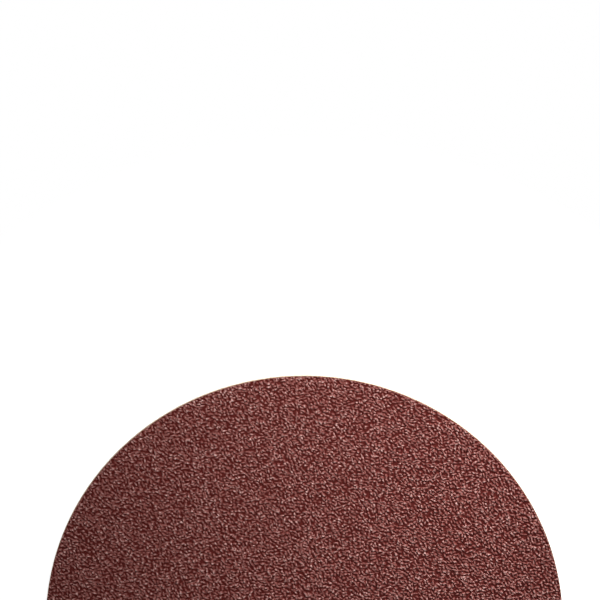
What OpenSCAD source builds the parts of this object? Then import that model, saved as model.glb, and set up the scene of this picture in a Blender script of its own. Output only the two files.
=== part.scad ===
// Hook and loop sanding disc.
// A round of coarse coated abrasive on heavy paper, faced underneath with a knitted loop pile
// that grips the hooks of a sander's pad. It is a plain disc, with no dust holes.
// The disc lies on its loops: its axis is Z, and the loops end at Z = 0.

/* [Disc] */
// Diameter of the die-cut paper
disc_d = 125; // [75:1:180]

/* [Loop pile] */
// Height of the loops below their ground knit
loop_h = 0.8; // [0.5:0.05:1.6]
// Thickness of the ground knit that is glued to the paper
knit_t = 0.3; // [0.15:0.05:0.6]
// How far the cut loops splay past the edge of the paper
pile_splay = 0.15; // [0.05:0.05:0.25]
// Distance from one row of loops to the next
row_pitch = 1.6; // [1:0.1:4]
// Width of the furrow between two rows
furrow_w = 0.3; // [0.1:0.05:0.8]
// Depth of the furrow between two rows
furrow_t = 0.25; // [0.05:0.05:0.4]

/* [Backing paper] */
// Thickness of the paper
paper_t = 0.45; // [0.2:0.05:1]

/* [Abrasive coat] */
// Bare paper that the cutting die leaves round the coat
bare_rim = 0.1; // [0:0.05:1]
// Thickness of the bond resin between the grains
resin_t = 0.25; // [0.1:0.05:0.8]
// Height of the tallest grain above the resin
grain_h = 0.65; // [0.1:0.05:1.2]
// Rings of grain facets from the centre to the edge of the coat
grain_rings = 40; // [6:1:42]
// How far a facet's corner strays from its place, as a share of the distance between rings
grain_stray = 0.2; // [0:0.05:0.2]
// Number that picks the scatter of the grains
grain_seed = 24; // [1:1:200]

/* [Hidden] */

round_fn = 180;
// How far a cut runs past the face that it opens
over = 1;

paper_r = disc_d / 2;
coat_r = paper_r - bare_rim;
pile_r = paper_r + pile_splay;

paper_z = loop_h + knit_t;
coat_z = paper_z + paper_t;

// Share of grain_h that the lowest grain tip reaches
low_tip = 0.5;
// Share of grain_h that the highest hollow between grains reaches
high_hollow = 0.3;
// A grain tip has hollows all round it, so every third corner of a row of facets is a tip
tip_step = 3;

ring_gap = coat_r / grain_rings;
coat_corners = ring_start(grain_rings + 1);
shifts = rands(-1, 1, 2 * coat_corners, grain_seed);
lifts = rands(0, 1, coat_corners, grain_seed + 1);

// Number of the first corner on ring k, where ring 0 is the centre and ring k has 6k corners
function ring_start(k) = k == 0 ? 0 : 1 + 3 * k * (k - 1);

// Number of corner i on ring k, counted round from +X
function corner(k, i) = k == 0 ? 0 : ring_start(k) + i % (6 * k);

// Ring k is a hexagon of six sides of k steps, so its corner i is step i % k of a side
function is_tip(k, i) = (k + (k == 0 ? 0 : i % k)) % tip_step == 0;

// Height of corner i on ring k above the paper
function relief(k, i) =
    let (lift = lifts[corner(k, i)])
    resin_t + grain_h * (is_tip(k, i) ? low_tip + (1 - low_tip) * lift : high_hollow * lift);

// The corners of the outermost ring stay on the cut edge, and the centre stays put
function corner_point(k, i) =
    let (n = corner(k, i),
         stray = k > 0 && k < grain_rings ? grain_stray : 0,
         r = (k + stray * shifts[2 * n]) * ring_gap,
         turn = k == 0 ? 0 : (i + stray * shifts[2 * n + 1]) * 60 / k)
    [r * cos(turn), r * sin(turn), relief(k, i)];

// Facets between ring k - 1 and ring k, side by side round the six sides
function ring_facets(k) = [
    for (side = [0:5], j = [0:k - 1])
        let (outer = side * k + j, inner = side * (k - 1) + j)
        each concat(
            [[corner(k, outer + 1), corner(k, outer), corner(k - 1, inner)]],
            j < k - 1 ? [[corner(k, outer + 1), corner(k - 1, inner), corner(k - 1, inner + 1)]] : [])
];

// Grains locked in resin: facets rise from the hollows to each grain's tip
module abrasive_coat() {
    rim = 6 * grain_rings;
    top = [for (k = [0:grain_rings], i = [0:max(6 * k, 1) - 1]) corner_point(k, i)];
    foot = [for (i = [0:rim - 1]) [coat_r * cos(360 * i / rim), coat_r * sin(360 * i / rim), 0]];
    facets = [for (k = [1:grain_rings]) each ring_facets(k)];
    wall = [for (i = [0:rim - 1])
        let (next = (i + 1) % rim, rim_start = ring_start(grain_rings))
        [rim_start + i, rim_start + next, coat_corners + next, coat_corners + i]];
    base = [[for (i = [0:rim - 1]) coat_corners + i]];
    color([0.43, 0.25, 0.235])
        translate([0, 0, coat_z])
            polyhedron(concat(top, foot), concat(facets, wall, base));
}

// The paper that carries the coat
module backing_paper() {
    color([0.80, 0.69, 0.52])
        translate([0, 0, paper_z])
            cylinder(r = paper_r, h = paper_t, $fn = round_fn);
}

// Half section of the pile: the ground knit is cut flush with the paper, and the loops splay to a round edge
module pile_section() {
    splay = [for (a = [-90:15:90])
        [paper_r + pile_splay * cos(a), loop_h / 2 * (1 + sin(a))]];
    polygon(concat([[0, 0]], splay, [[paper_r, paper_z], [0, paper_z]]));
}

// One furrow along X, open below, with its middle at height y across the rows
module furrow(y) {
    length = 2 * (pile_r + over);
    translate([-length / 2, y - furrow_w / 2, -over])
        cube([length, furrow_w, over + furrow_t]);
}

// Knitted loops in straight rows, with a row along the middle and a shallow furrow on each side of it
module loop_pile() {
    furrows = floor(pile_r / row_pitch - 0.5);
    color([0.93, 0.90, 0.82])
        difference() {
            rotate_extrude($fn = round_fn) pile_section();
            for (n = [0:furrows], side = [-1, 1])
                furrow(side * (n + 0.5) * row_pitch);
        }
}

abrasive_coat();
backing_paper();
loop_pile();
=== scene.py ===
"""Looks of a coarse hook and loop sanding disc.

Crystals stand in red-brown resin on tan paper, over a knitted loop pile. Lengths are in metres, angles are
in degrees, and the disc's axis is Z.
"""

from __future__ import annotations

import logging
import math
import random
from collections.abc import Callable, Sequence
from dataclasses import dataclass
from enum import Enum, IntEnum

import bpy
from mathutils import Euler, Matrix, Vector


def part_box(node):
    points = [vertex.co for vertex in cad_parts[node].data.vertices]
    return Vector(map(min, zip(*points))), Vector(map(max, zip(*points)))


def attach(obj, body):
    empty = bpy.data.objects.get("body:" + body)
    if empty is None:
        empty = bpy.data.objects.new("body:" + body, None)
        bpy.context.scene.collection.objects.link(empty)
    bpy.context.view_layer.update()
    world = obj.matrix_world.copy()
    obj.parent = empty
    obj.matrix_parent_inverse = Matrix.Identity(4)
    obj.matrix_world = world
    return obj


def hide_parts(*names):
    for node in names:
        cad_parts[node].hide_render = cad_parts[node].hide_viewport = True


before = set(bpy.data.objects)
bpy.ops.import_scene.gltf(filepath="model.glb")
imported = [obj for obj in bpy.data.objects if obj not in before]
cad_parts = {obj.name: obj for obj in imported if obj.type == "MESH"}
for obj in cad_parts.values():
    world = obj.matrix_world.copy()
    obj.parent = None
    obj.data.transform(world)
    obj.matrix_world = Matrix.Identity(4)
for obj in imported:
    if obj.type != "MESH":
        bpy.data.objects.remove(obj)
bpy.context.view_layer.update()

log = logging.getLogger("sanding_disc")

Plug = bpy.types.NodeSocket | bpy.types.ID | float | int | tuple | str
Colour = tuple[float, float, float]
Span = tuple[float, float]

MM = 0.001
BODY = "root"

# Name of the random value that each planted shape carries
TONE = "tone"
# Range of a share, a noise or a tone, and its middle
UNIT: Span = (0.0, 1.0)
MIDDLE = 0.5
# Range that holds nearly all of a noise
NOISE_SPAN: Span = (0.3, 0.7)
WHITE = (1.0, 1.0, 1.0, 1.0)
# What a place is multiplied by to lose its height
FLATTENED = (1.0, 1.0, 0.0)
# Sides of a round outline
ROUND_SIDES = 256
# A face is level when its normal has more than this along the axis
LEVEL_SHARE = 0.9
# A corner lies on a level when it is nearer to it than this
TOUCH = 0.01 * MM


class Layer(str, Enum):
    """The bonded layers of the disc, by the names of their solids."""

    COAT = "abrasive_coat"
    PAPER = "backing_paper"
    PILE = "loop_pile"


class Slot(str, Enum):
    """Names for material slots of the layers that are built anew; no piece is given them here."""

    GRAIN = "bonded_grain"
    KNIT = "loop_knit"


class Draw(IntEnum):
    """The random draws for each planted shape, by how far each one's seed lies after the crop's own."""

    SHARE = 1
    TONE = 2
    TURN = 3
    SIZE = 4
    KIND = 5
    RISE = 6
    STRAY = 7


class Drawn(Enum):
    """The types of value that can be drawn, by the number of their first input on Blender's node."""

    FLOAT_VECTOR = 0
    FLOAT = 2
    INT = 4


@dataclass(frozen=True)
class Noise:
    """Soft noise: the width of a blot, how many finer octaves it holds and how strong they are."""

    pitch: float
    detail: float
    roughness: float


class Wiring:
    """Adds nodes to a shader or geometry tree, each with its inputs linked or set."""

    def __init__(self, tree: bpy.types.NodeTree) -> None:
        """Work on one tree."""
        self.tree = tree

    @classmethod
    def blank(cls, owner: bpy.types.Material | bpy.types.World) -> Wiring:
        """Start the wiring of a material or a world afresh.

        Args:
            owner: the material or the world.

        Returns:
            The wiring of its empty tree.
        """
        owner.use_nodes = True
        owner.node_tree.nodes.clear()
        return cls(owner.node_tree)

    def node(
            self, kind: str, plugs: dict[str | int, Plug] | None = None, **settings: object,
    ) -> bpy.types.Node:
        """Add one node.

        Args:
            kind: Blender's type of node.
            plugs: for each input, by name or number, the socket that feeds it or its value.
            settings: properties of the node, such as its operation.

        Returns:
            The new node.
        """
        node = self.tree.nodes.new(kind)
        for name, value in settings.items():
            setattr(node, name, value)
        for key, plug in (plugs or {}).items():
            if isinstance(plug, bpy.types.NodeSocket):
                self.tree.links.new(plug, node.inputs[key])
            else:
                node.inputs[key].default_value = plug
        return node

    def math(self, operation: str, first: Plug, second: Plug) -> bpy.types.NodeSocket:
        """Work out one number from two, by Blender's name of the operation, such as MULTIPLY."""
        return self.node("ShaderNodeMath", {0: first, 1: second}, operation=operation).outputs[0]

    def reach(self, where: Plug) -> bpy.types.NodeSocket:
        """Measure how far a point lies from the disc's axis."""
        flat = self.node("ShaderNodeVectorMath", {0: where, 1: FLATTENED}, operation="MULTIPLY").outputs[0]
        return self.node("ShaderNodeVectorMath", {0: flat}, operation="LENGTH").outputs["Value"]

    def spread(self, value: Plug, span: Span, onto: Span = UNIT) -> bpy.types.NodeSocket:
        """Carry a value from one range into another, held within its ends."""
        plugs = {
            "Value": value, "From Min": span[0], "From Max": span[1], "To Min": onto[0], "To Max": onto[1]}
        return self.node("ShaderNodeMapRange", plugs).outputs["Result"]

    def noise(self, where: Plug, noise: Noise) -> bpy.types.NodeSocket:
        """Read a noise at a point, from 0 to 1."""
        plugs = {
            "Vector": where, "Scale": 1 / noise.pitch, "Detail": noise.detail, "Roughness": noise.roughness}
        return self.node("ShaderNodeTexNoise", plugs).outputs["Fac"]

    def ramp(self, value: Plug, stops: Sequence[float], colours: Sequence[Colour]) -> bpy.types.NodeSocket:
        """Turn a value into a colour.

        Args:
            value: the value, from 0 to 1.
            stops: the values at which the colours are pure, in order.
            colours: the colours.

        Returns:
            The socket that holds the colour.
        """
        node = self.node("ShaderNodeValToRGB", {"Fac": value})
        elements = node.color_ramp.elements
        while len(elements) < len(stops):
            elements.new(1.0)
        for element, stop, colour in zip(elements, stops, colours):
            element.position = stop
            element.color = (*colour, 1.0)
        return node.outputs["Color"]

    def bump(self, height: Plug, depth: float) -> bpy.types.NodeSocket:
        """Make a bumpy normal, where a height of 1 stands for the depth."""
        plugs = {"Height": height, "Distance": depth, "Strength": 1.0}
        return self.node("ShaderNodeBump", plugs).outputs["Normal"]

    def thin(self, points: Plug, unwanted: Plug) -> bpy.types.NodeSocket:
        """Delete the unwanted points."""
        plugs = {"Geometry": points, "Selection": unwanted}
        return self.node("GeometryNodeDeleteGeometry", plugs, domain="POINT").outputs[0]


class Finish:
    """A surface finish, which builds its own material."""

    name: str

    def plugs(self, w: Wiring, where: bpy.types.NodeSocket) -> dict[str, Plug]:
        """Wire the pattern at a point on the piece, and say what feeds each input of the shader."""
        raise NotImplementedError

    def material(self) -> bpy.types.Material:
        """Build the material.

        Returns:
            The material, with its pattern on the piece's own coordinates.
        """
        material = bpy.data.materials.new(self.name)
        w = Wiring.blank(material)
        where = w.node("ShaderNodeTexCoord").outputs["Object"]
        shader = w.node("ShaderNodeBsdfPrincipled", self.plugs(w, where))
        w.node("ShaderNodeOutputMaterial", {"Surface": shader.outputs["BSDF"]})
        return material


@dataclass(frozen=True)
class CrystalFinish(Finish):
    """Crystals in red resin, coloured by height: partly painted shade at their feet, partly a painted
    highlight at their tips.

    The colour goes by the height above the foot of the crystals, in shares of the way to their tips. A tone
    for each crystal and the specks shift it by a share either way.
    """

    foot: float
    tip: float
    name: str = "resin_coated_crystal"
    # Colour at the feet: the resin's dark red, made darker as painted shade between the crystals.
    deep_and_shade: Colour = (0.128, 0.0205, 0.0168)
    middle: Colour = (0.258, 0.076, 0.064)
    # Colour at the tips: pale crystal, lightened as a painted highlight.
    bare_and_highlight: Colour = (0.690, 0.430, 0.395)
    stops: tuple[float, float, float] = (0.05, 0.45, 0.86)
    roughness: Span = (0.30, 0.40)
    gloss: float = 0.28
    tone_share: float = 0.05
    speck_share: float = 0.40
    specks: Noise = Noise(0.40 * MM, 2.0, 0.6)
    ripples: Noise = Noise(0.20 * MM, 2.0, 0.5)
    ripple_depth: float = 0.03 * MM

    def plugs(self, w: Wiring, where: bpy.types.NodeSocket) -> dict[str, Plug]:
        """Colour each crystal by its height, as painted shade low and a painted highlight high, with its
        own tone, specks and fine ripples.

        Args:
            w: the wiring of the material's tree.
            where: the point on the piece.

        Returns:
            What feeds each input of the shader.
        """
        height = w.node("ShaderNodeSeparateXYZ", {0: where}).outputs["Z"]
        tone = w.node("ShaderNodeAttribute", attribute_name=TONE).outputs["Fac"]
        specks = w.noise(where, self.specks)
        # The height ramp paints shade low between the crystals and a highlight on their tips.
        mixed = w.spread(height, (self.foot, self.tip))
        for part, share in ((tone, self.tone_share), (specks, self.speck_share)):
            mixed = w.math("ADD", mixed, w.math("MULTIPLY", w.math("SUBTRACT", part, MIDDLE), share))
        return {
            "Base Color": w.ramp(mixed, self.stops, (self.deep_and_shade, self.middle, self.bare_and_highlight)),
            "Roughness": w.spread(specks, NOISE_SPAN, self.roughness),
            "Specular IOR Level": self.gloss,
            "Normal": w.bump(w.noise(where, self.ripples), self.ripple_depth),
        }


@dataclass(frozen=True)
class BondFinish(Finish):
    """The resin bed between the crystals, in their resin's red darkened as painted shade."""

    name: str = "bond_resin"
    # Blot colours darkened as painted shade between the crystals.
    dark: Colour = (0.082, 0.0118, 0.0098)
    light: Colour = (0.107, 0.0174, 0.0145)
    stops: Span = (0.30, 0.75)
    roughness: Span = (0.50, 0.70)
    gloss: float = 0.05
    blots: Noise = Noise(1.2 * MM, 3.0, 0.6)
    ripples: Noise = Noise(0.3 * MM, 2.0, 0.5)
    ripple_depth: float = 0.05 * MM

    def plugs(self, w: Wiring, where: bpy.types.NodeSocket) -> dict[str, Plug]:
        """Blot the resin lighter and darker, and let it ripple.

        Args:
            w: the wiring of the material's tree.
            where: the point on the piece.

        Returns:
            What feeds each input of the shader.
        """
        blots = w.noise(where, self.blots)
        return {
            "Base Color": w.ramp(blots, self.stops, (self.dark, self.light)),
            "Roughness": w.spread(blots, NOISE_SPAN, self.roughness),
            "Specular IOR Level": self.gloss,
            "Normal": w.bump(w.noise(where, self.ripples), self.ripple_depth),
        }


@dataclass(frozen=True)
class PaperFinish(Finish):
    """Heavy tan paper, whose cut edge shows its plies of fibre."""

    name: str = "tan_paper"
    dark: Colour = (0.46, 0.32, 0.20)
    light: Colour = (0.72, 0.56, 0.40)
    roughness: Span = (0.95, 0.75)
    fibres: Noise = Noise(0.35 * MM, 4.0, 0.65)
    flatten: float = 6.0
    fuzz_depth: float = 0.04 * MM

    def plugs(self, w: Wiring, where: bpy.types.NodeSocket) -> dict[str, Plug]:
        """Lay the fibres flat, so that the cut edge is streaked along the paper.

        Args:
            w: the wiring of the material's tree.
            where: the point on the piece.

        Returns:
            What feeds each input of the shader.
        """
        plies = w.node("ShaderNodeMapping", {"Vector": where, "Scale": (1.0, 1.0, self.flatten)}).outputs[0]
        fibres = w.noise(plies, self.fibres)
        return {
            "Base Color": w.ramp(fibres, NOISE_SPAN, (self.dark, self.light)),
            "Roughness": w.spread(fibres, NOISE_SPAN, self.roughness),
            "Normal": w.bump(fibres, self.fuzz_depth),
        }


@dataclass(frozen=True)
class YarnFinish(Finish):
    """Cream yarn of fine bright filaments."""

    name: str = "cream_yarn"
    dark: Colour = (0.82, 0.78, 0.70)
    light: Colour = (0.95, 0.93, 0.87)
    roughness: Span = (0.90, 0.65)
    sheen: float = 0.25
    filaments: Noise = Noise(0.12 * MM, 3.0, 0.6)
    fuzz_depth: float = 0.03 * MM

    def plugs(self, w: Wiring, where: bpy.types.NodeSocket) -> dict[str, Plug]:
        """Streak the yarn with filaments.

        Args:
            w: the wiring of the material's tree.
            where: the point on the piece.

        Returns:
            What feeds each input of the shader.
        """
        filaments = w.noise(where, self.filaments)
        return {
            "Base Color": w.ramp(filaments, NOISE_SPAN, (self.dark, self.light)),
            "Roughness": w.spread(filaments, NOISE_SPAN, self.roughness),
            "Normal": w.bump(filaments, self.fuzz_depth),
            "Sheen Weight": self.sheen,
        }


def clear_selection() -> None:
    """Deselect everything, as an operator acts on all that is selected."""
    if bpy.context.mode != "OBJECT":
        bpy.ops.object.mode_set(mode="OBJECT")
    bpy.ops.object.select_all(action="DESELECT")


def pick_faces(piece: bpy.types.Object, wanted: Callable[[bpy.types.MeshPolygon], bool]) -> None:
    """In edit mode, select the faces that pass a test and no others.

    Args:
        piece: the piece, in edit mode.
        wanted: the test, which is given a face.
    """
    bpy.ops.mesh.select_all(action="DESELECT")
    bpy.ops.object.mode_set(mode="OBJECT")
    for face in piece.data.polygons:
        face.select = wanted(face)
    bpy.ops.object.mode_set(mode="EDIT")


def finish_shape(shape: bpy.types.Object, name: str, smooth_angle: float) -> bpy.types.Object:
    """Leave edit mode, with the selected faces as triangles that face outwards and are shaded smooth.

    Args:
        shape: the shape.
        name: its name.
        smooth_angle: the sharpest edge that is still smooth.

    Returns:
        The shape.
    """
    bpy.ops.mesh.quads_convert_to_tris()
    bpy.ops.mesh.normals_make_consistent(inside=False)
    bpy.ops.object.mode_set(mode="OBJECT")
    bpy.ops.object.shade_smooth_by_angle(angle=math.radians(smooth_angle))
    shape.name = name
    return shape


def hand_in(layer: Layer, pieces: list[bpy.types.Object]) -> None:
    """Put a layer's finished pieces in the place of its solid, on the disc's body.

    Args:
        layer: the layer.
        pieces: the pieces, of which the first stands in for the solid.
    """
    for piece in pieces:
        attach(piece, BODY)
    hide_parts(layer.value)


@dataclass
class Crop:
    """A crop of small shapes that is planted all over the disc, in a few pieces.

    Each shape has a size and rises off the bed by a little, both drawn from a range. It tilts as far as an
    angle either way, and it is turned round its axis by an angle from a range.
    """

    name: str
    pieces: int
    bed_height: float
    size: Span
    rise: Span
    tilt: float
    turn: Span
    seed: int

    def lay_bed(self, radius: float) -> bpy.types.Object:
        """Lay out the mesh that the crop is planted on, as far as a radius."""
        raise NotImplementedError

    def spots(self, w: Wiring, bed: Plug, radius: float) -> bpy.types.NodeSocket:
        """Wire the nodes that find the points of a bed that are planted, as far as a radius."""
        raise NotImplementedError

    def draw(self, w: Wiring, which: Draw, drawn: Drawn, low: Plug, high: Plug) -> bpy.types.NodeSocket:
        """Draw a random value for each point.

        Args:
            w: the wiring of the planting tree.
            which: which of the crop's draws this is.
            drawn: the type of value.
            low: the least value.
            high: the most.

        Returns:
            The socket that holds the value.
        """
        first = drawn.value
        plugs = {first: low, first + 1: high, "Seed": self.seed + which}
        return w.node("FunctionNodeRandomValue", plugs, data_type=drawn.name).outputs[first // 2]


@dataclass
class ScatteredCrop(Crop):
    """A crop that is scattered evenly, with no order, from so many tries in each square of its spacing."""

    spacing: float
    tries: float = 4.0

    def lay_bed(self, radius: float) -> bpy.types.Object:
        """Lay out a round face."""
        bpy.ops.mesh.primitive_circle_add(
            vertices=ROUND_SIDES, radius=radius, fill_type="NGON", location=(0, 0, self.bed_height))
        return bpy.context.object

    def spots(self, w: Wiring, bed: Plug, radius: float) -> bpy.types.NodeSocket:
        """Scatter points over the bed, none of them nearer to another than the spacing.

        Args:
            w: the wiring of the planting tree.
            bed: the bed's geometry.
            radius: how far the crop reaches, which is not used.

        Returns:
            The socket that holds the points.
        """
        density = self.tries / self.spacing ** 2
        plugs = {"Mesh": bed, "Distance Min": self.spacing, "Density Max": density, "Seed": self.seed}
        points = w.node("GeometryNodeDistributePointsOnFaces", plugs, distribute_method="POISSON")
        return points.outputs["Points"]


@dataclass
class RowCrop(Crop):
    """A crop in straight rows along X, with a row along the middle."""

    row_pitch: float
    step: float
    stray: Span

    def lay_bed(self, radius: float) -> bpy.types.Object:
        """Lay out a grid whose corners lie on the rows.

        Args:
            radius: how far the crop reaches.

        Returns:
            The bed.
        """
        rows = 2 * math.floor(radius / self.row_pitch)
        steps = math.floor(2 * radius / self.step)
        bpy.ops.mesh.primitive_grid_add(
            x_subdivisions=steps, y_subdivisions=rows, size=1, location=(0, 0, self.bed_height))
        bed = bpy.context.object
        bpy.ops.object.mode_set(mode="EDIT")
        bpy.ops.mesh.select_all(action="SELECT")
        bpy.ops.transform.resize(value=(steps * self.step, rows * self.row_pitch, 1))
        bpy.ops.object.mode_set(mode="OBJECT")
        return bed

    def spots(self, w: Wiring, bed: Plug, radius: float) -> bpy.types.NodeSocket:
        """Take the grid's corners within the round, each a little out of its place.

        Args:
            w: the wiring of the planting tree.
            bed: the bed's geometry.
            radius: how far the crop reaches.

        Returns:
            The socket that holds the points.
        """
        x, y = self.stray
        stray = self.draw(w, Draw.STRAY, Drawn.FLOAT_VECTOR, (-x, -y, 0), (x, y, 0))
        points = w.node("GeometryNodeMeshToPoints", {"Mesh": bed}).outputs[0]
        points = w.node("GeometryNodeSetPosition", {"Geometry": points, "Offset": stray}).outputs[0]
        plugs = {0: w.reach(w.node("GeometryNodeInputPosition").outputs[0]), 1: radius}
        outside = w.node("FunctionNodeCompare", plugs, data_type="FLOAT", operation="GREATER_THAN")
        return w.thin(points, outside.outputs[0])


@dataclass
class RimCrop(Crop):
    """A crop in one row along the rim."""

    step: float

    def lay_bed(self, radius: float) -> bpy.types.Object:
        """Lay out a ring whose corners are about a step apart.

        Args:
            radius: how far the crop reaches.

        Returns:
            The bed.
        """
        corners = round(2 * math.pi * radius / self.step)
        bpy.ops.mesh.primitive_circle_add(
            vertices=corners, radius=radius, fill_type="NOTHING", location=(0, 0, self.bed_height))
        return bpy.context.object

    def spots(self, w: Wiring, bed: Plug, radius: float) -> bpy.types.NodeSocket:
        """Take the ring's corners."""
        return w.node("GeometryNodeMeshToPoints", {"Mesh": bed}).outputs[0]


@dataclass
class Planter:
    """Plants copies of small shapes with geometry nodes, and holds them within a round box.

    They stand within the box's radius less the margin.
    """

    kinds: list[bpy.types.Object]
    material: bpy.types.Material
    radius: float
    low: float
    high: float
    margin: float = 0.0

    @property
    def planted_radius(self) -> float:
        """How far from the axis a shape may stand."""
        return self.radius - self.margin

    def plant(self, *crops: Crop) -> list[bpy.types.Object]:
        """Plant some crops of the same kinds of shape, which are used up.

        Args:
            crops: the crops.

        Returns:
            The finished pieces.
        """
        store = bpy.data.collections.new("kinds")
        for kind in self.kinds:
            for holder in list(kind.users_collection):
                holder.objects.unlink(kind)
            store.objects.link(kind)
        pieces = [self.plant_share(crop, share, store) for crop in crops for share in range(crop.pieces)]
        for kind in self.kinds:
            bpy.data.objects.remove(kind)
        bpy.data.collections.remove(store)
        return pieces

    def plant_share(self, crop: Crop, share: int, store: bpy.types.Collection) -> bpy.types.Object:
        """Plant one share of a crop, as a piece of its own.

        Args:
            crop: the crop.
            share: the number of the share.
            store: the kinds of shape.

        Returns:
            The finished piece.
        """
        clear_selection()
        piece = crop.lay_bed(self.planted_radius)
        piece.name = f"{crop.name}_{share + 1}"
        bpy.ops.object.transform_apply(location=True, rotation=True, scale=True)
        piece.data.materials.append(self.material)
        planting = piece.modifiers.new("planting", "NODES")
        planting.node_group = self.wire(crop, share, store)
        bpy.ops.object.modifier_apply(modifier=planting.name)
        return piece

    def wire(self, crop: Crop, share: int, store: bpy.types.Collection) -> bpy.types.NodeTree:
        """Wire the nodes that plant one share of a crop.

        Args:
            crop: the crop.
            share: the number of the share.
            store: the kinds of shape.

        Returns:
            The node tree.
        """
        tree = bpy.data.node_groups.new(f"plant_{crop.name}_{share}", "GeometryNodeTree")
        for way in ("INPUT", "OUTPUT"):
            tree.interface.new_socket("Geometry", in_out=way, socket_type="NodeSocketGeometry")
        w = Wiring(tree)
        spots = self.chosen_spots(w, crop, share)
        crowd = self.grown_shapes(w, crop, spots, store)
        plugs = {"Geometry": crowd, "Position": self.held_in(w)}
        crowd = w.node("GeometryNodeSetPosition", plugs).outputs[0]
        plugs = {"Geometry": crowd, "Material": self.material}
        crowd = w.node("GeometryNodeSetMaterial", plugs).outputs[0]
        w.node("NodeGroupOutput", {0: crowd})
        return tree

    def chosen_spots(self, w: Wiring, crop: Crop, share: int) -> bpy.types.NodeSocket:
        """Find the points of one share of a crop, and give each a tone.

        Args:
            w: the wiring of the tree.
            crop: the crop.
            share: the number of the share.

        Returns:
            The socket that holds the points.
        """
        spots = crop.spots(w, w.node("NodeGroupInput").outputs[0], self.planted_radius)
        lot = crop.draw(w, Draw.SHARE, Drawn.INT, 0, crop.pieces - 1)
        others = w.node("FunctionNodeCompare", {2: lot, 3: share}, data_type="INT", operation="NOT_EQUAL")
        spots = w.thin(spots, others.outputs[0])
        tone = crop.draw(w, Draw.TONE, Drawn.FLOAT, *UNIT)
        plugs = {"Geometry": spots, "Name": TONE, "Value": tone}
        toned = w.node("GeometryNodeStoreNamedAttribute", plugs, data_type="FLOAT", domain="POINT")
        return toned.outputs[0]

    def grown_shapes(
            self, w: Wiring, crop: Crop, spots: Plug, store: bpy.types.Collection,
    ) -> bpy.types.NodeSocket:
        """Stand a shape of a random kind, size, turn and height on each point.

        Args:
            w: the wiring of the tree.
            crop: the crop.
            spots: the points.
            store: the kinds of shape.

        Returns:
            The socket that holds the shapes.
        """
        tilt = math.radians(crop.tilt)
        first, last = (math.radians(turn) for turn in crop.turn)
        plugs = {"Collection": store, "Separate Children": True, "Reset Children": True}
        shapes = w.node("GeometryNodeCollectionInfo", plugs).outputs[0]
        plugs = {
            "Points": spots, "Instance": shapes, "Pick Instance": True,
            "Instance Index": crop.draw(w, Draw.KIND, Drawn.INT, 0, len(self.kinds) - 1),
            "Rotation": crop.draw(
                w, Draw.TURN, Drawn.FLOAT_VECTOR, (-tilt, -tilt, first), (tilt, tilt, last)),
            "Scale": crop.draw(w, Draw.SIZE, Drawn.FLOAT, *crop.size)}
        shapes = w.node("GeometryNodeInstanceOnPoints", plugs).outputs[0]
        rise = crop.draw(w, Draw.RISE, Drawn.FLOAT, *crop.rise)
        lift = w.node("ShaderNodeCombineXYZ", {"Z": rise}).outputs[0]
        plugs = {"Instances": shapes, "Translation": lift, "Local Space": False}
        shapes = w.node("GeometryNodeTranslateInstances", plugs).outputs[0]
        return w.node("GeometryNodeRealizeInstances", {"Geometry": shapes}).outputs[0]

    def held_in(self, w: Wiring) -> bpy.types.NodeSocket:
        """Hold each point within the round box: cut flush at its rim, its floor and its top.

        Args:
            w: the wiring of the tree.

        Returns:
            The socket that holds the new place.
        """
        place = w.node("GeometryNodeInputPosition").outputs[0]
        x, y, z = w.node("ShaderNodeSeparateXYZ", {0: place}).outputs
        share = w.math("MINIMUM", w.math("DIVIDE", self.radius, w.reach(place)), 1.0)
        height = w.math("MINIMUM", w.math("MAXIMUM", z, self.low), self.high)
        plugs = {"X": w.math("MULTIPLY", x, share), "Y": w.math("MULTIPLY", y, share), "Z": height}
        return w.node("ShaderNodeCombineXYZ", plugs).outputs[0]


@dataclass
class WavyPlate:
    """A round plate with one uneven face, its upper or its lower one, modelled from a cylinder."""

    name: str
    radius: float
    low: float
    high: float
    up: bool
    wave: float
    wave_pitch: float
    rings: int = 40
    smooth_angle: float = 60.0

    def build(self, material: bpy.types.Material) -> bpy.types.Object:
        """Build the plate.

        Args:
            material: the plate's material.

        Returns:
            The finished plate.
        """
        clear_selection()
        bpy.ops.mesh.primitive_cylinder_add(
            vertices=ROUND_SIDES, radius=self.radius, depth=self.high - self.low,
            location=(0, 0, (self.high + self.low) / 2))
        plate = bpy.context.object
        plate.name = self.name
        bpy.ops.object.transform_apply(location=True, rotation=True, scale=True)
        self.inset_rings(plate)
        self.make_wavy(plate)
        bpy.ops.object.shade_smooth_by_angle(angle=math.radians(self.smooth_angle))
        plate.data.materials.append(material)
        return plate

    def inset_rings(self, plate: bpy.types.Object) -> None:
        """Inset the uneven face again and again, so that it has corners all over.

        Args:
            plate: the plate.
        """
        way = 1 if self.up else -1
        bpy.ops.object.mode_set(mode="EDIT")
        bpy.ops.mesh.select_mode(type="FACE")
        pick_faces(plate, lambda face: face.normal.z * way > LEVEL_SHARE)
        for _ in range(self.rings - 1):
            bpy.ops.mesh.inset(thickness=self.radius / self.rings)
        bpy.ops.object.mode_set(mode="OBJECT")

    def make_wavy(self, plate: bpy.types.Object) -> None:
        """Move the corners of the uneven face up and down.

        Args:
            plate: the plate.
        """
        level = self.high if self.up else self.low
        face = plate.vertex_groups.new(name="face")
        face.add([v.index for v in plate.data.vertices if abs(v.co.z - level) < TOUCH], 1.0, "REPLACE")
        waves = bpy.data.textures.new(f"{self.name}_waves", "CLOUDS")
        waves.noise_scale = self.wave_pitch
        wavy = plate.modifiers.new("wavy", "DISPLACE")
        wavy.texture = waves
        wavy.texture_coords = "LOCAL"
        wavy.direction = "Z"
        wavy.vertex_group = face.name
        wavy.strength = 2 * self.wave
        wavy.mid_level = MIDDLE
        bpy.ops.object.modifier_apply(modifier=wavy.name)


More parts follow.
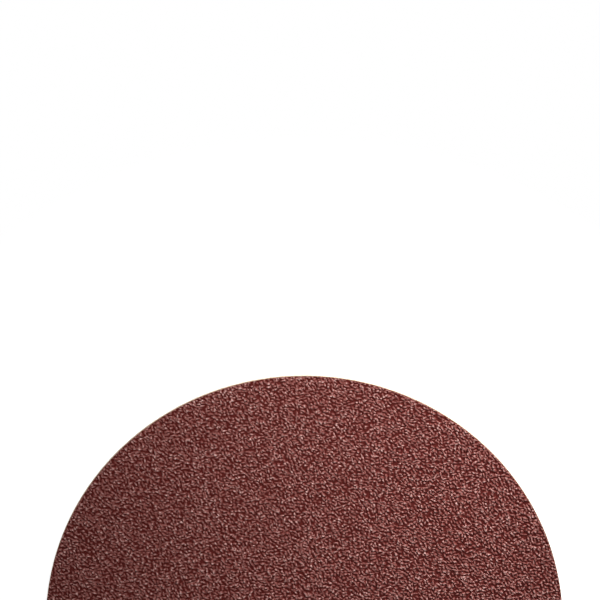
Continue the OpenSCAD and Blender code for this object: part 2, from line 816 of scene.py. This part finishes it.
@dataclass(frozen=True)
class CrystalKind:
    """One kind of crystal, about 1 unit wide: a block that is cut flat on many sides.

    A cut lies at a distance from the block's middle. The cut block is then stretched in its length, width
    and height, and corners that are nearer than the weld are joined.
    """

    number: int
    seed: int = 100
    block: float = 1.15
    flank: float = 50.0
    flank_distance: Span = (0.24, 0.34)
    chips: int = 4
    chip_distance: Span = (0.36, 0.50)
    stretch: tuple[Span, Span, Span] = ((1.0, 1.35), (0.65, 0.85), (0.9, 1.1))
    weld: float = 0.03
    smooth_angle: float = 180.0

    def cuts(self, dice: random.Random) -> list[tuple[Vector, float]]:
        """Choose the cuts that shape the crystal: two flanks that meet in a crest, then chips all round.

        Args:
            dice: the source of the crystal's shape.

        Returns:
            For each cut, the way that it faces and its distance from the middle.
        """
        flank = math.radians(self.flank)
        cuts = []
        for side in (-1, 1):
            way = Vector((0, side * math.sin(flank), math.cos(flank)))
            cuts.append((way, dice.uniform(*self.flank_distance)))
        for _ in range(self.chips):
            way = Vector([dice.gauss(0, 1) for _ in range(3)]).normalized()
            cuts.append((way, dice.uniform(*self.chip_distance)))
        return cuts

    def model(self) -> bpy.types.Object:
        """Model the crystal.

        Returns:
            The crystal.
        """
        dice = random.Random(self.seed + self.number)
        clear_selection()
        bpy.ops.mesh.primitive_cube_add(size=self.block)
        crystal = bpy.context.object
        bpy.ops.object.mode_set(mode="EDIT")
        for way, distance in self.cuts(dice):
            bpy.ops.mesh.select_all(action="SELECT")
            bpy.ops.mesh.bisect(plane_co=way * distance, plane_no=way, use_fill=True, clear_outer=True)
        bpy.ops.mesh.select_all(action="SELECT")
        bpy.ops.transform.resize(value=[dice.uniform(*span) for span in self.stretch])
        bpy.ops.mesh.remove_doubles(threshold=self.weld)
        return finish_shape(crystal, f"crystal_kind_{self.number}", self.smooth_angle)


@dataclass
class AbrasiveCoat:
    """The bond resin and the crystals that stand in it, within the coat's own box."""

    low: Vector
    high: Vector
    bond_depth: float = 0.20 * MM
    bond_wave: float = 0.05 * MM
    wave_pitch: float = 1.6 * MM
    kinds: int = 12
    grain_pieces: int = 4
    grain_size: Span = (0.69 * MM, 0.82 * MM)
    grain_rise: Span = (0.0, 0.11 * MM)
    grain_tilt: float = 38.0
    grain_turn: Span = (-78.0, 24.0)
    grain_spacing: float = 0.58 * MM
    grain_seed: int = 3

    def build(self) -> list[bpy.types.Object]:
        """Build the bond and the crystals.

        Returns:
            The finished pieces.
        """
        bond_top = self.low.z + self.bond_depth
        bond = WavyPlate(
            "bond_resin", self.high.x, self.low.z, bond_top, up=True,
            wave=self.bond_wave, wave_pitch=self.wave_pitch).build(BondFinish().material())
        crystals = [CrystalKind(number).model() for number in range(self.kinds)]
        finish = CrystalFinish(bond_top, self.high.z)
        planter = Planter(crystals, finish.material(), self.high.x, self.low.z, self.high.z)
        grain = ScatteredCrop(
            "grain", self.grain_pieces, bond_top, size=self.grain_size, rise=self.grain_rise,
            tilt=self.grain_tilt, turn=self.grain_turn, seed=self.grain_seed, spacing=self.grain_spacing)
        return [bond, *planter.plant(grain)]


@dataclass
class BackingPaper:
    """The paper, shown as its own solid."""

    finish: PaperFinish = PaperFinish()

    def dress(self) -> bpy.types.Object:
        """Give the paper its material.

        Returns:
            The dressed solid.
        """
        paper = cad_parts[Layer.PAPER.value]
        paper.data.materials.clear()
        paper.data.materials.append(self.finish.material())
        return paper


@dataclass(frozen=True)
class LoopKind:
    """One kind of yarn loop, 1 unit tall, that hangs from its two ends: most of a ring, stretched.

    The ring is stretched in its width, depth and height, its corners stray, and its middle hangs below the
    knit. The part of it that would lie in the knit is cut off.
    """

    number: int
    seed: int = 200
    ring_radius: float = 0.40
    ring_sides: int = 6
    yarn_radius: float = 0.20
    yarn_sides: int = 3
    width: Span = (1.5, 2.1)
    depth: Span = (1.5, 2.2)
    height: float = 1.2
    stray: float = 0.06
    hang: float = 0.29
    smooth_angle: float = 100.0

    def model(self) -> bpy.types.Object:
        """Model the loop.

        Returns:
            The loop.
        """
        dice = random.Random(self.seed + self.number)
        clear_selection()
        bpy.ops.mesh.primitive_torus_add(
            major_segments=self.ring_sides, minor_segments=self.yarn_sides, major_radius=self.ring_radius,
            minor_radius=self.yarn_radius, rotation=(math.radians(90), 0, 0))
        loop = bpy.context.object
        bpy.ops.object.transform_apply(location=False, rotation=True, scale=False)
        bpy.ops.object.mode_set(mode="EDIT")
        bpy.ops.mesh.select_all(action="SELECT")
        bpy.ops.transform.resize(value=(dice.uniform(*self.width), dice.uniform(*self.depth), self.height))
        bpy.ops.transform.vertex_random(offset=self.stray, seed=self.number)
        bpy.ops.transform.translate(value=(0, 0, -self.hang))
        bpy.ops.mesh.bisect(plane_co=(0, 0, 0), plane_no=(0, 0, 1), use_fill=True, clear_outer=True)
        bpy.ops.mesh.select_all(action="SELECT")
        return finish_shape(loop, f"loop_kind_{self.number}", self.smooth_angle)


@dataclass
class LoopPile:
    """The ground knit, glued to the paper, and the yarn loops that hang from it in rows and at the rim."""

    low: Vector
    high: Vector
    knit_radius: float
    knit_depth: float = 0.45 * MM
    knit_wave: float = 0.03 * MM
    stitch_pitch: float = 1.0 * MM
    kinds: int = 10
    loop_size: Span = (0.64 * MM, 0.76 * MM)
    loop_rise: Span = (0.0, 0.04 * MM)
    loop_tilt: float = 26.0
    loop_step: float = 0.68 * MM
    row_pieces: int = 2
    row_pitch: float = 1.6 * MM
    row_stray: Span = (0.32 * MM, 0.22 * MM)
    row_turn: Span = (-45.0, 45.0)
    row_seed: int = 60
    rim_pieces: int = 1
    rim_margin: float = 0.30 * MM
    rim_turn: Span = (-180.0, 180.0)
    rim_seed: int = 80

    def build(self) -> list[bpy.types.Object]:
        """Build the knit and its loops.

        Returns:
            The finished pieces.
        """
        yarn = YarnFinish().material()
        knit_low = self.high.z - self.knit_depth
        knit = WavyPlate(
            "ground_knit", self.knit_radius, knit_low, self.high.z, up=False,
            wave=self.knit_wave, wave_pitch=self.stitch_pitch).build(yarn)
        loops = [LoopKind(number).model() for number in range(self.kinds)]
        planter = Planter(loops, yarn, self.knit_radius, self.low.z, self.high.z, self.rim_margin)
        rows = RowCrop(
            "yarn_loops", self.row_pieces, knit_low, size=self.loop_size, rise=self.loop_rise,
            tilt=self.loop_tilt, turn=self.row_turn, seed=self.row_seed, row_pitch=self.row_pitch,
            step=self.loop_step, stray=self.row_stray)
        rim = RimCrop(
            "yarn_rim", self.rim_pieces, knit_low, size=self.loop_size, rise=self.loop_rise,
            tilt=self.loop_tilt, turn=self.rim_turn, seed=self.rim_seed, step=self.loop_step)
        return [knit, *planter.plant(rows, rim)]


@dataclass(frozen=True)
class Spotlight:
    """A soft-edged spotlight near the disc, so that the disc is brightest where the light is aimed.

    It stands at its reach from the aim, and the width is that of the lamp itself.
    """

    name: str
    azimuth: float
    elevation: float
    reach: float
    cone: float
    width: float
    power: float
    aim: tuple[float, float]

    def place(self) -> bpy.types.Object:
        """Add the lamp, facing its aim on the disc.

        Returns:
            The lamp.
        """
        data = bpy.data.lights.new(self.name, "SPOT")
        data.spot_size = math.radians(self.cone)
        data.spot_blend = 1.0
        data.shadow_soft_size = self.width / 2
        data.energy = self.power
        lamp = bpy.data.objects.new(self.name, data)
        turn = Euler((math.radians(90 - self.elevation), 0, math.radians(self.azimuth + 90)))
        lamp.rotation_euler = turn
        lamp.location = Vector((*self.aim, 0)) + turn.to_matrix() @ Vector((0, 0, self.reach))
        bpy.context.scene.collection.objects.link(lamp)
        return lamp


@dataclass
class Studio:
    """The floor, the light and the camera, none of which is part of the disc.

    The floor glows by its lift where it is seen, and fades to white as far from the disc as the fade says.
    The sky lights the disc by the fill. The camera leans from upright, aims at a point of the paper and
    stands at a distance from it.
    """

    floor_size: float = 3.0
    floor_colour: Colour = (0.88, 0.88, 0.88)
    floor_lift: float = 0.58
    floor_fade: Span = (0.07, 0.12)
    fill: float = 0.485
    lamps: tuple[Spotlight, ...] = (
        Spotlight(
            "key", azimuth=69.0, elevation=29.0, reach=0.46, cone=21.0, width=0.12, power=14.3,
            aim=(63 * MM, 54 * MM)),
        Spotlight(
            "overhead", azimuth=80.0, elevation=64.0, reach=0.32, cone=32.0, width=0.12, power=3.90,
            aim=(2 * MM, 96 * MM)),
    )
    lean: float = 13.4962
    aim: tuple[float, float] = (-1.045 * MM, 81.04 * MM)
    distance: float = 0.9
    lens: float = 228.125

    def build(self) -> None:
        """Build the floor, the sky, the lamps and the camera."""
        self.build_floor()
        self.build_sky()
        for lamp in self.lamps:
            lamp.place()
        self.place_camera()
        bpy.context.scene.view_settings.view_transform = "Standard"

    @staticmethod
    def seen(w: Wiring) -> bpy.types.NodeSocket:
        """Tell the rays that show a background, straight or mirrored, from those that light the disc.

        Args:
            w: the wiring of the tree.

        Returns:
            The socket that holds 1 for the rays that show it.
        """
        path = w.node("ShaderNodeLightPath").outputs
        shown = w.math("MAXIMUM", path["Is Camera Ray"], path["Is Glossy Ray"])
        return w.math("MAXIMUM", shown, path["Is Transmission Ray"])

    def build_floor(self) -> None:
        """Build the floor."""
        clear_selection()
        bpy.ops.mesh.primitive_plane_add(size=self.floor_size)
        floor = bpy.context.object
        floor.name = "floor"
        floor.data.materials.append(self.floor_material())

    def floor_material(self) -> bpy.types.Material:
        """Build a pale material that is lifted to white where it is seen but keeps the disc's shadow.

        Returns:
            The material.
        """
        material = bpy.data.materials.new("pale_floor")
        w = Wiring.blank(material)
        seen = self.seen(w)
        matte = w.node("ShaderNodeBsdfDiffuse", {"Color": (*self.floor_colour, 1.0)}).outputs[0]
        lift = w.math("MULTIPLY", seen, self.floor_lift)
        glow = w.node("ShaderNodeEmission", {"Strength": lift}).outputs[0]
        near = w.node("ShaderNodeAddShader", {0: matte, 1: glow}).outputs[0]
        far = w.node("ShaderNodeEmission", {"Strength": 1.0}).outputs[0]
        reach = w.reach(w.node("ShaderNodeTexCoord").outputs["Object"])
        fade = w.math("MULTIPLY", w.spread(reach, self.floor_fade), seen)
        mixed = w.node("ShaderNodeMixShader", {0: fade, 1: near, 2: far}).outputs[0]
        w.node("ShaderNodeOutputMaterial", {"Surface": mixed})
        return material

    def build_sky(self) -> None:
        """Light the disc evenly from all round, and show white where nothing else is seen."""
        sky = bpy.data.worlds.new("sky")
        w = Wiring.blank(sky)
        strength = w.spread(self.seen(w), UNIT, (self.fill, 1.0))
        light = w.node("ShaderNodeBackground", {"Color": WHITE, "Strength": strength}).outputs[0]
        w.node("ShaderNodeOutputWorld", {"Surface": light})
        bpy.context.scene.world = sky

    def place_camera(self) -> None:
        """Place the camera above the disc, leaning to its far side, with that side up in the picture."""
        data = bpy.data.cameras.new("camera")
        data.lens = self.lens
        camera = bpy.data.objects.new("camera", data)
        lean = math.radians(self.lean)
        paper_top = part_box(Layer.PAPER.value)[1].z
        back = Vector((0, math.sin(lean), math.cos(lean)))
        camera.location = Vector((*self.aim, paper_top)) + back * self.distance
        camera.rotation_euler = Euler((-lean, 0, 0))
        bpy.context.scene.collection.objects.link(camera)
        bpy.context.scene.camera = camera


def main() -> None:
    """Build the studio and the disc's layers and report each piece."""
    logging.basicConfig(level=logging.INFO, format="%(name)s %(message)s")
    Studio().build()
    coat = AbrasiveCoat(*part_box(Layer.COAT.value)).build()
    hand_in(Layer.COAT, coat)
    paper = BackingPaper().dress()
    pile = LoopPile(*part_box(Layer.PILE.value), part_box(Layer.PAPER.value)[1].x).build()
    hand_in(Layer.PILE, pile)
    for piece in (*coat, paper, *pile):
        triangles = sum(len(face.vertices) - 2 for face in piece.data.polygons)
        log.info("%s: %d triangles", piece.name, triangles)


if __name__ == "__main__":
    main()
